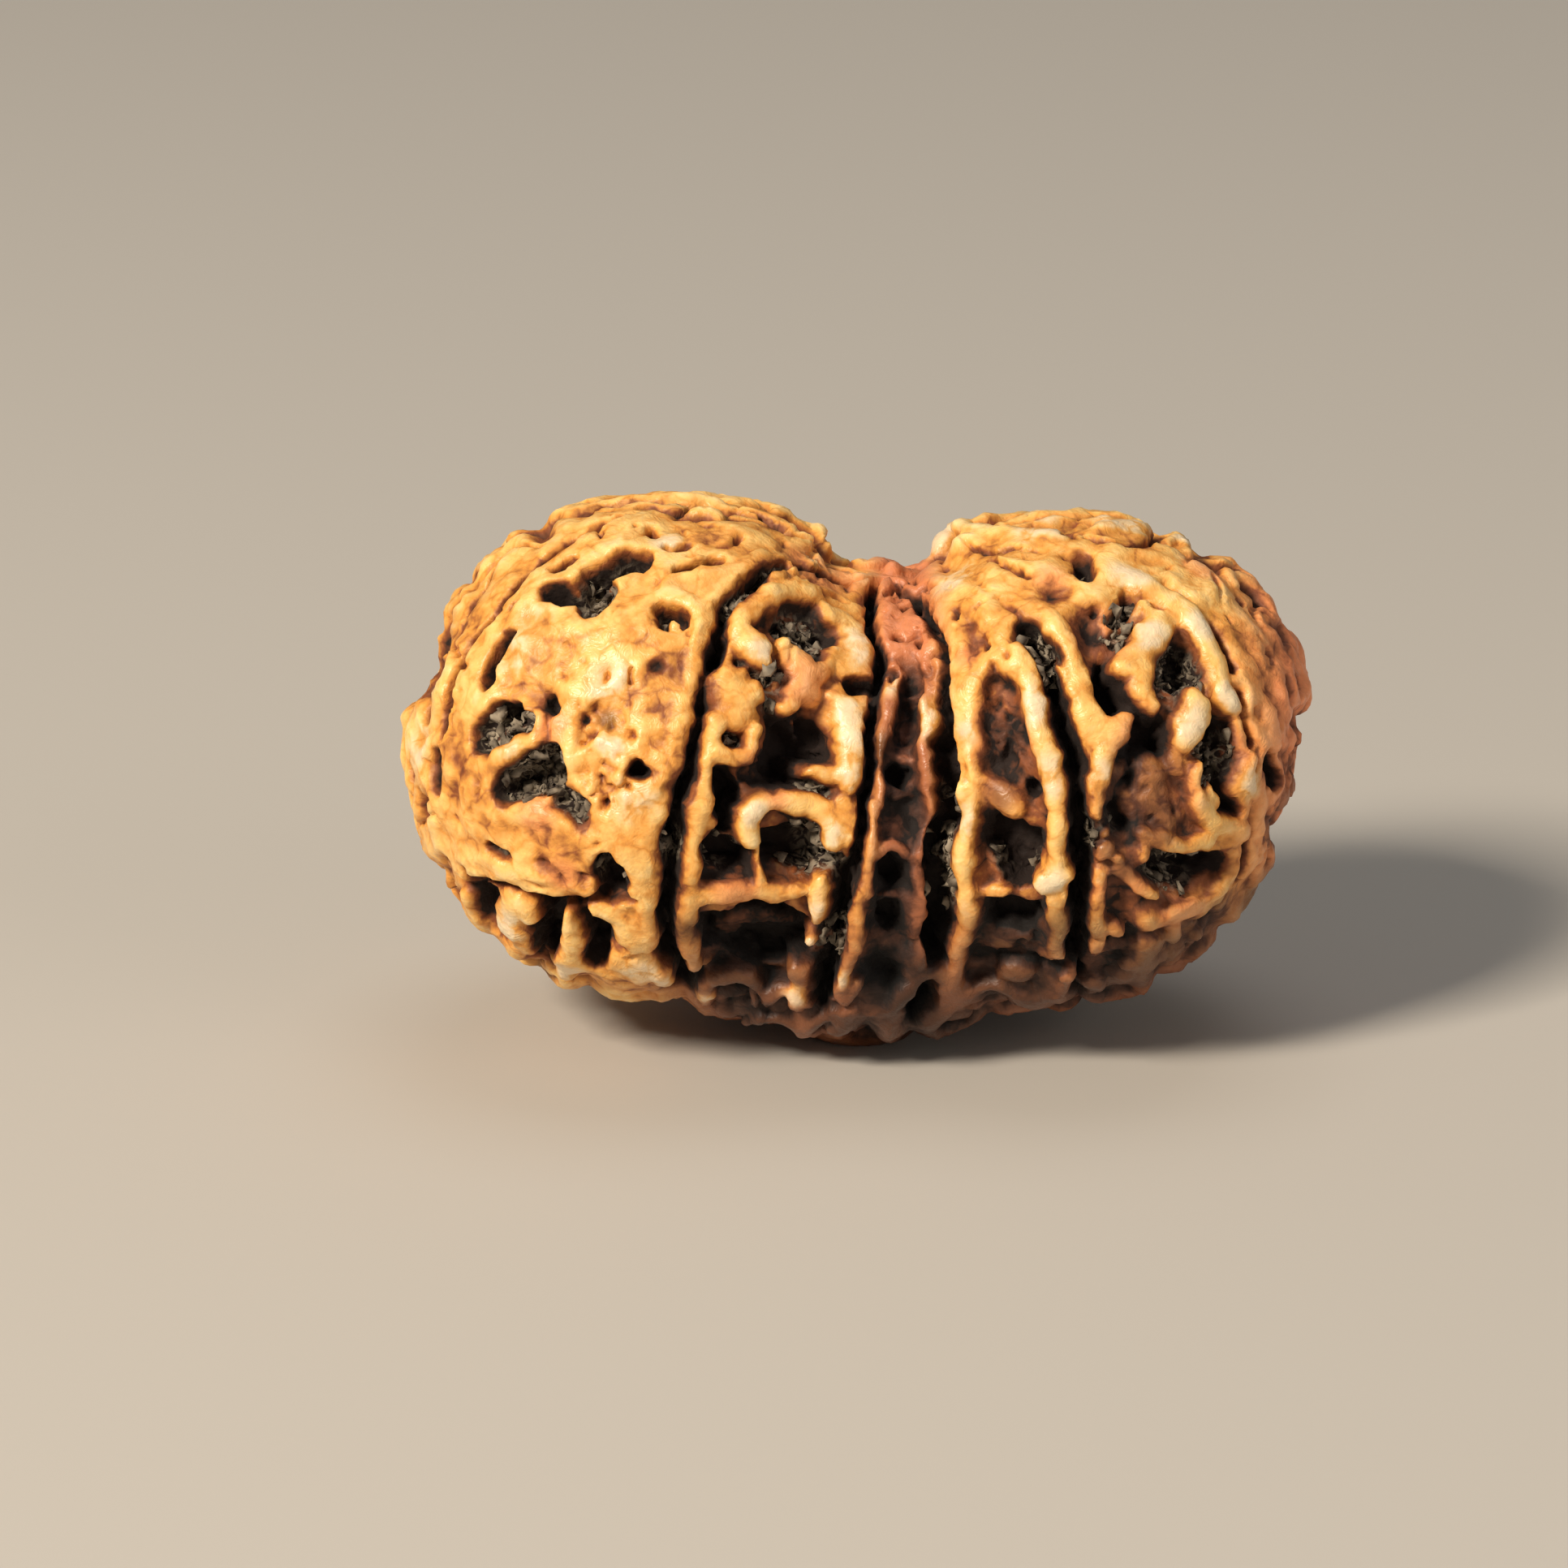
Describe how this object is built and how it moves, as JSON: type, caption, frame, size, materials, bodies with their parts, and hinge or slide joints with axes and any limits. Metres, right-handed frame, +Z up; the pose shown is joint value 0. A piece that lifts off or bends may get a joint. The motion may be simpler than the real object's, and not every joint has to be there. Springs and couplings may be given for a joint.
{
  "type": "gauri shankar rudraksha",
  "caption": "Two rudraksha seeds grown joined side by side, with deep upright grooves, pits and knobs, resting on a small flat spot.",
  "frame": {"origin": "middle of the footprint, at the height of the surface that the seed rests on", "axes": "+X along the pair from the larger seed to the smaller, +Y away from the front shown, +Z up"},
  "size_m": [0.0298, 0.0176, 0.0179],
  "materials": {
    "rudraksha_stone": "hard woody seed stone, ochre to red-brown, waxed to a dull shine on the ribs, dark in the pits"
  },
  "bodies": {
    "root": {"conjoined_seed": "rudraksha_stone"}
  },
  "joints": []
}
